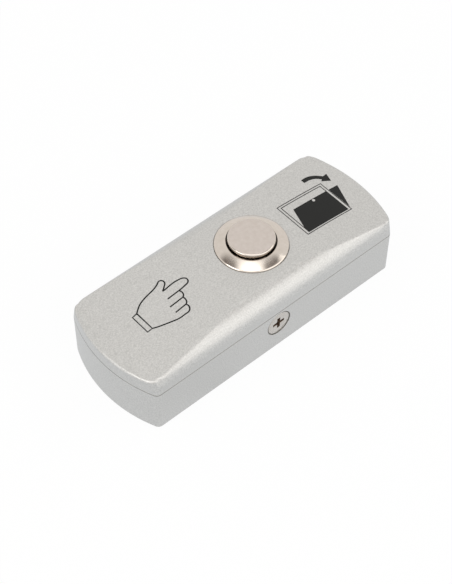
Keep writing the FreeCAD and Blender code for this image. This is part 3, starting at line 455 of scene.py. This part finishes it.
def makeBezelBarrel():
    b = bezelBarrel
    flangeRadius = (housingHigh[0] - housingLow[0]) / 2 / mm
    coneRadius = flangeRadius - b["coneInset"]
    barrelDrop = (bezelTop - housingLow[2]) / mm
    rootRadius = b["barrelRadius"] - b["threadDepth"]
    thread = []
    for turn in range(b["turns"]):
        z = -b["threadStart"] - turn * b["threadPitch"]
        thread += [(b["barrelRadius"], z), (rootRadius, z - b["threadPitch"] / 2)]
    # down the hole and the bore, up the thread to the flange, and back up the cone
    profile = [
        (b["holeRadius"], 0), (b["holeRadius"], -b["shoulderDrop"]), (b["bore"], -b["shoulderDrop"]),
        (b["bore"], -b["grooveTop"]), (b["ringGroove"], -b["grooveTop"]),
        (b["ringGroove"], -b["grooveBottom"]), (b["bore"], -b["grooveBottom"]),
        (b["bore"], -barrelDrop), (rootRadius, -barrelDrop)]
    profile += thread[::-1]
    profile += [(b["barrelRadius"], -b["flangeDrop"]), (flangeRadius, -b["flangeDrop"]),
                (flangeRadius, -b["coneDrop"] - b["coneInset"])]
    coneFoot = len(profile)
    coneWidth = coneRadius - b["holeRadius"] - b["rimWidth"]
    coneLength = math.hypot(coneWidth, b["coneDrop"])
    for step in range(b["coneSteps"] + 1):
        share = step / b["coneSteps"]
        bulge = 4 * b["coneBulge"] * share * (1 - share) / coneLength
        profile.append((coneRadius - share * coneWidth + bulge * b["coneDrop"],
                        (share - 1) * b["coneDrop"] + bulge * coneWidth))
    rounds = {0: b["rimRound"], len(profile) - 1: b["rimRound"] / 2, coneFoot: b["flangeRound"],
              coneFoot - 1: b["flangeRound"]}
    barrel = turnProfile("bezelBarrel", profile, rounds, b["steps"], made["polished nickel plate"],
                         "enclosure", "button_housing")


# Cap: satin top with a slight dome, polished brink, a side darkened as painted shade, and the collar and seal
# groove below.
# Faces are sorted by how far up they look, from 1 for level to 0 for upright.
pushCap = {"radius": 5.95, "dome": 0.12, "domeRings": 4, "brinkRound": 0.4, "polishedBelow": 0.9,
           "shadedBelow": 0.1, "ceiling": 0.15, "bore": 4.7, "collarRadius": 6.55, "collarTop": 3.25,
           "collarBottom": 4.45, "grooveRadius": 5.35, "grooveTop": 0.85, "grooveBottom": 1.85, "steps": 128}


def makePushCap():
    c = pushCap
    top = (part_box("button_cap")[1][2] - bezelTop) / mm
    rings = [(c["radius"] * k / c["domeRings"], top - c["dome"] * (k / c["domeRings"]) ** 2)
             for k in range(c["domeRings"], -1, -1)]
    profile = [
        (0, -c["ceiling"]), (c["bore"], -c["ceiling"]), (c["bore"], -c["collarBottom"]),
        (c["collarRadius"], -c["collarBottom"]), (c["collarRadius"], -c["collarTop"]),
        (c["radius"], -c["collarTop"]), (c["radius"], -c["grooveBottom"]),
        (c["grooveRadius"], -c["grooveBottom"]), (c["grooveRadius"], -c["grooveTop"]),
        (c["radius"], -c["grooveTop"])]
    brink = len(profile)
    cap = turnProfile("pushCap", profile + rings, {brink: c["brinkRound"]}, c["steps"],
                      made["satin nickel plate"], "button", "button_cap")
    cap.data.materials.append(made["polished nickel plate"])
    cap.data.materials.append(made["nickel plate with painted side shade"])
    # upright faces take the darker copy of the plate, painted shade
    for face in cap.data.polygons:
        up = face.normal.z
        face.material_index = 0 if up > c["polishedBelow"] else 1 if up > c["shadedBelow"] else 2


makeBezelBarrel()
makePushCap()
print("push button turned")


# The cover's top is an arc along its length, which drops by endDrop millimetres at the ends
crown = {"endDrop": 3.6}
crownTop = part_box("cover")[1][2]
crownRadius = (cadHigh[0] ** 2 + (crown["endDrop"] * mm) ** 2) / (2 * crown["endDrop"] * mm)

# Cover: the frame's own form, with its upright corners rounded more towards the top. Sizes in millimetres;
# the cuts give the corners enough faces to round. Faces within topWithin of the crown's slope are the top.
coverShell = {"endBulge": 3.6, "cornerRadius": 1.6, "topRound": 4.6, "roundFrom": 13.0, "roundTo": 16.8,
              "cutsAlong": (34.9, 35.3, 35.7, 36.1, 36.5, 36.9, 37.3, 37.7, 38.1, 38.5, 38.9),
              "cutsAcross": (11.8, 12.4, 12.9, 13.4, 13.9, 14.4, 14.8, 15.2),
              "cutsUp": (13.5, 14.2, 15.0, 15.8), "sharpAngle": 25, "areaWeight": 100, "topWithin": 0.999}


def makeCoverShell():
    s = coverShell
    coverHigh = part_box("cover")[1]
    reach, half = coverHigh[0] / mm, coverHigh[1] / mm
    endRadius = (half ** 2 + s["endBulge"] ** 2) / (2 * s["endBulge"])
    endCentre = Vector((reach - endRadius, 0))
    nearlyLevel = 0.001

    def arcCentre(radius):
        y = half - radius
        return Vector((endCentre.x + math.sqrt((endRadius - radius) ** 2 - y ** 2), y))

    def between(centre, offset):
        # whether the offset points into the corner, between the side's and the end's square directions
        toEnd = centre - endCentre
        return offset.x > 0 and toEnd.x * offset.y > toEnd.y * offset.x

    def toCircle(start, aim, centre, radius):
        away = start - centre
        along = away.dot(aim)
        return math.sqrt(along ** 2 - away.length_squared + radius ** 2) - along

    def toOutline(start, aim):
        straight = (half - start.y) / aim.y if aim.y > nearlyLevel else reach
        length = min(straight, toCircle(start, aim, endCentre, endRadius))
        corner = arcCentre(s["cornerRadius"])
        if between(corner, start + aim * length - corner):
            length = toCircle(start, aim, corner, s["cornerRadius"])
        return length

    bm = bmesh.new()
    bm.from_mesh(nodes["cover"].data)
    bmesh.ops.remove_doubles(bm, verts=bm.verts, dist=mergeWithin)
    cuts = [((1, 0, 0), sign * x) for x in s["cutsAlong"] for sign in (1, -1)]
    cuts += [((0, 1, 0), sign * y) for y in s["cutsAcross"] for sign in (1, -1)]
    cuts += [((0, 0, 1), z) for z in s["cutsUp"]]
    for normal, level in cuts:
        # cuts across and up stay near the ends
        cut = [f for f in bm.faces if normal[0] or abs(f.calc_center_median().x) > s["cutsAlong"][0] * mm]
        geometry = {part for f in cut for part in (f, *f.edges, *f.verts)}
        bmesh.ops.bisect_plane(bm, geom=list(geometry), plane_co=Vector(normal) * level * mm,
                               plane_no=normal, dist=cutWithin)
    for vert in bm.verts:
        share = (vert.co.z / mm - s["roundFrom"]) / (s["roundTo"] - s["roundFrom"])
        radius = s["cornerRadius"] + (s["topRound"] - s["cornerRadius"]) * min(max(share, 0.0), 1.0)
        centre = arcCentre(radius)
        offset = Vector((abs(vert.co.x) / mm, abs(vert.co.y) / mm)) - centre
        if share > 0 and between(centre, offset):
            place = centre + offset * radius / toOutline(centre, offset.normalized())
            vert.co.x = math.copysign(place.x * mm, vert.co.x)
            vert.co.y = math.copysign(place.y * mm, vert.co.y)
    shell = makePiece("coverShell", bm, silverLacquer, "enclosure", "cover", sharpAngle=s["sharpAngle"])
    # large faces lead the shading, so the flats stay flat beside the rounded edges
    weighted = shell.modifiers.new("weighted", "WEIGHTED_NORMAL")
    weighted.keep_sharp = True
    weighted.weight = s["areaWeight"]
    bpy.context.view_layer.update()
    mesh = bpy.data.meshes.new_from_object(shell.evaluated_get(bpy.context.evaluated_depsgraph_get()))
    shell.modifiers.clear()
    shell.data = mesh
    # the crowned top is shaded as the true arc
    normals = [corner.vector.copy() for corner in mesh.corner_normals]
    for face in mesh.polygons:
        for loop in face.loop_indices:
            slope = mesh.vertices[mesh.loops[loop].vertex_index].co.x / crownRadius
            square = Vector((slope, 0, math.sqrt(1 - slope ** 2)))
            if face.normal.dot(square) > s["topWithin"]:
                normals[loop] = square
    mesh.normals_split_custom_set(normals)


makeCoverShell()
print("cover corners rounded")


# Side screws: the frame's own form, with a thin head rim that covers the ledge round the countersink,
# a wider cross recess with painted shade down in it, and eased edges. Sizes in millimetres, angles in degrees.
# rimFrom is the share of the head's radius past which its edge is drawn out into the rim; the painted recess
# shade starts a set depth below the rim's face.
sideScrews = {"mergeWithin": 0.002, "flatAngle": 1, "crossWithin": 1.9, "crossScale": 1.08, "crossDepth": 1.4,
              "faceWithin": 0.02, "rimRadius": 3.35, "rimHeight": 0.28, "rimStep": 0.01, "rimFrom": 0.95,
              "shadeBelow": 0.1, "edgeRound": 0.06, "edgeAngle": 30, "edgeSegments": 2}


def makeSideScrews():
    s = sideScrews
    low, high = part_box("side_screws")
    axisX, axisZ = (low[0] + high[0]) / 2, (low[2] + high[2]) / 2
    headRadius, headFace = (high[2] - low[2]) / 2, high[1]
    crossFloor = headFace - s["crossDepth"] * mm
    bm = bmesh.new()
    bm.from_mesh(nodes["side_screws"].data)
    bmesh.ops.remove_doubles(bm, verts=bm.verts, dist=s["mergeWithin"] * mm)
    bmesh.ops.dissolve_limit(bm, angle_limit=math.radians(s["flatAngle"]), verts=bm.verts, edges=bm.edges)

    def fromAxis(point):
        return math.hypot(point.x - axisX, point.z - axisZ)

    def widen(verts, scale):
        for vert in verts:
            vert.co.x = axisX + (vert.co.x - axisX) * scale
            vert.co.z = axisZ + (vert.co.z - axisZ) * scale

    def onHead(point):
        return abs(abs(point.y) - headFace) < s["faceWithin"] * mm

    cross = [v for v in bm.verts if abs(v.co.y) > crossFloor and fromAxis(v.co) < s["crossWithin"] * mm]
    widen(cross, s["crossScale"])
    faces = [f for f in bm.faces if all(onHead(v.co) for v in f.verts)]
    for lift, scale in ((s["rimStep"] * mm, s["rimRadius"] * mm / headRadius), (s["rimHeight"] * mm, 1)):
        grown = bmesh.ops.extrude_face_region(bm, geom=faces)["geom"]
        bmesh.ops.delete(bm, geom=faces, context="FACES_ONLY")
        faces = [g for g in grown if isinstance(g, bmesh.types.BMFace)]
        moved = [g for g in grown if isinstance(g, bmesh.types.BMVert)]
        for vert in moved:
            vert.co.y += math.copysign(lift, vert.co.y)
        widen([v for v in moved if fromAxis(v.co) > s["rimFrom"] * headRadius], scale)
    bmesh.ops.recalc_face_normals(bm, faces=bm.faces)
    sharp = [e for e in bm.edges if e.is_manifold and e.calc_face_angle() > math.radians(s["edgeAngle"])]
    bmesh.ops.bevel(bm, geom=sharp, offset=s["edgeRound"] * mm, affect="EDGES", segments=s["edgeSegments"],
                    profile=0.5, material=-1, clamp_overlap=True)
    screws = makePiece("sideScrews", bm, made["nickel plated steel"], "enclosure", "side_screws")
    screws.data.materials.append(made["nickel plate with painted shade"])
    # faces down in the cross recess take the darker copy of the plate, painted shade
    for face in screws.data.polygons:
        depth = abs(face.center.y)
        deep = crossFloor < depth < headFace + (s["rimHeight"] - s["shadeBelow"]) * mm
        inside = fromAxis(face.center) < s["crossWithin"] * s["crossScale"] * mm
        face.material_index = 1 if deep and inside else 0


makeSideScrews()
print("side screws eased")


# Pictograms: thin ink that follows the cover's lengthwise crown. Points are in millimetres on the cover,
# "s" where the line is smooth and "c" at a corner.
ink = {"height": 0.016, "slice": 1.5, "curveSteps": 6, "strokeSteps": 2, "mergeWithin": 0.0005}
handPrint = {
    "stroke": 0.38,
    "thumb": [(-28.8, 2.53, "c"), (-28.0, 3.17, "s"), (-26.67, 4.0, "s"), (-24.83, 4.6, "s"),
              (-23.0, 4.9, "s"), (-21.5, 5.15, "s"), (-20.2, 5.58, "s"), (-19.0, 6.1, "s"),
              (-18.35, 5.55, "s"), (-18.4, 4.8, "s"), (-19.3, 3.95, "s"), (-20.33, 3.2, "c")],
    "index": [(-20.33, 3.2, "c"), (-15.2, 3.23, "s"), (-14.1, 2.75, "s"), (-13.73, 2.05, "s"),
              (-14.1, 1.25, "s"), (-15.0, 0.95, "s"), (-20.9, 0.65, "c")],
    "knuckles": [(-17.35, 0.8, "c"), (-17.12, -0.2, "s"), (-17.4, -1.0, "s"), (-17.85, -1.4, "c")],
    "middleFinger": [(-17.85, -1.4, "c"), (-17.85, -2.3, "s"), (-18.15, -3.05, "s"), (-18.65, -3.45, "c")],
    "littleFinger": [(-18.65, -3.45, "c"), (-18.52, -4.2, "s"), (-18.75, -4.85, "s"), (-19.35, -5.43, "s"),
                     (-20.7, -5.52, "s"), (-22.7, -5.42, "s"), (-24.1, -5.0, "s"), (-26.3, -4.27, "s"),
                     (-27.7, -3.75, "s"), (-28.8, -3.23, "c")],
    "gapOne": [(-21.95, -1.5, "c"), (-17.85, -1.4, "c")],
    "gapTwo": [(-22.0, -3.6, "c"), (-18.65, -3.45, "c")],
    "cuff": [(-28.8, 2.53, "c"), (-30.23, 2.4, "c"), (-30.23, -3.23, "c"), (-28.8, -3.23, "c"),
             (-28.8, 2.53, "c")]}
# the frame's two rings are given by their left, bottom, right and top
doorPrint = {
    "stroke": 0.34, "outer": (17.93, -6.4, 32.88, 4.93), "inner": (18.72, -5.9, 32.1, 4.28),
    "leaf": [(20.83, 2.1), (32.15, 2.1), (32.15, -5.98), (18.67, -5.98), (18.67, -4.5)],
    "leafBeyond": [(33.05, 2.1), (36.1, 2.1), (33.05, -5.7)],
    "knob": (27.23, 1.5), "knobRadius": 0.42,
    "arrowTop": [(29.67, 8.72), (31.4, 8.78), (33.1, 8.32), (34.35, 7.55), (35.35, 6.6)],
    "arrowHead": [(36.75, 6.82), (35.95, 4.2), (33.7, 5.42)],
    "arrowUnder": [(34.3, 5.95), (33.4, 6.75), (32.5, 7.22), (31.4, 7.48), (29.67, 7.47)]}


def crownLevel(x):
    return crownTop - crownRadius + math.sqrt(crownRadius ** 2 - x ** 2)


def inkCurve(name, dimensions, splines):
    # splines: points with their kind, and whether the line is closed
    curve = bpy.data.curves.new(name, "CURVE")
    curve.dimensions = dimensions
    curve.resolution_u = ink["curveSteps"]
    for points, closed in splines:
        spline = curve.splines.new("BEZIER")
        spline.bezier_points.add(len(points) - 1)
        spline.use_cyclic_u = closed
        for point, (x, y, kind) in zip(spline.bezier_points, points):
            point.co = (x * mm, y * mm, 0)
            point.handle_left_type = point.handle_right_type = "AUTO" if kind == "s" else "VECTOR"
    return curve


def curveToBmesh(curve):
    holder = bpy.data.objects.new("holder", curve)
    scene.collection.objects.link(holder)
    bpy.context.view_layer.update()
    mesh = bpy.data.meshes.new_from_object(holder.evaluated_get(bpy.context.evaluated_depsgraph_get()))
    bpy.data.objects.remove(holder)
    bpy.data.curves.remove(curve)
    bm = bmesh.new()
    bm.from_mesh(mesh)
    bpy.data.meshes.remove(mesh)
    return bm


def strokeMesh(name, lines, width):
    # a round line, pressed flat into a low ridge of ink
    curve = inkCurve(name, "3D", lines)
    curve.bevel_depth = width / 2 * mm
    curve.bevel_resolution = ink["strokeSteps"]
    curve.use_fill_caps = True
    bm = curveToBmesh(curve)
    bmesh.ops.scale(bm, vec=(1, 1, 2 * ink["height"] / width), verts=bm.verts)
    return bm


def areaMesh(name, outlines):
    # a flat inked area with its holes, as thick as the ink
    curve = inkCurve(name, "2D", outlines)
    curve.fill_mode = "BOTH"
    curve.extrude = ink["height"] / 2 * mm
    return curveToBmesh(curve)


def layOnCrown(bm):
    # cut across into short slices, then lift every slice onto the crown
    left, right = min(v.co.x for v in bm.verts), max(v.co.x for v in bm.verts)
    slices = int((right - left) / (ink["slice"] * mm))
    for index in range(1, slices + 1):
        x = left + index * ink["slice"] * mm
        bmesh.ops.bisect_plane(bm, geom=bm.verts[:] + bm.edges[:] + bm.faces[:], plane_co=(x, 0, 0),
                               plane_no=(1, 0, 0), dist=cutWithin)
    for vert in bm.verts:
        vert.co.z += crownLevel(vert.co.x)
    return bm


def joinMeshes(name, parts):
    whole = bmesh.new()
    for part in parts:
        mesh = bpy.data.meshes.new(name)
        part.to_mesh(mesh)
        part.free()
        whole.from_mesh(mesh)
        bpy.data.meshes.remove(mesh)
    bmesh.ops.remove_doubles(whole, verts=whole.verts, dist=ink["mergeWithin"] * mm)
    return whole


def cornered(points):
    return [(x, y, "c") for x, y in points]


def ring(left, bottom, right, top):
    return cornered([(left, bottom), (right, bottom), (right, top), (left, top)])


def makeHandPrint():
    lines = [(points, False) for name, points in handPrint.items() if name != "stroke"]
    bm = layOnCrown(strokeMesh("handPrint", lines, handPrint["stroke"]))
    makePiece("handPrint", bm, made["screen printed ink"], "enclosure")


def makeDoorPrint():
    d = doorPrint
    x, y, r = *d["knob"], d["knobRadius"]
    knob = [(x + r, y, "s"), (x, y + r, "s"), (x - r, y, "s"), (x, y - r, "s")]
    # the arrow's shaft is smooth between its four ends
    arrow = [(px, py, "s") for px, py in d["arrowTop"]] + cornered(d["arrowHead"])
    arrow += [(px, py, "s") for px, py in d["arrowUnder"]]
    for index in (0, len(d["arrowTop"]) - 1, -len(d["arrowUnder"]), -1):
        arrow[index] = (*arrow[index][:2], "c")
    parts = [strokeMesh("doorFrame", [(ring(*d["outer"]), True), (ring(*d["inner"]), True)], d["stroke"]),
             areaMesh("doorLeaf", [(cornered(d["leaf"]), True), (knob, True)]),
             areaMesh("doorBeyond", [(cornered(d["leafBeyond"]), True)]),
             areaMesh("doorArrow", [(arrow, True)])]
    bm = joinMeshes("doorPrint", [layOnCrown(part) for part in parts])
    makePiece("doorPrint", bm, made["screen printed ink"], "enclosure")


makeHandPrint()
makeDoorPrint()
print("pictograms printed")
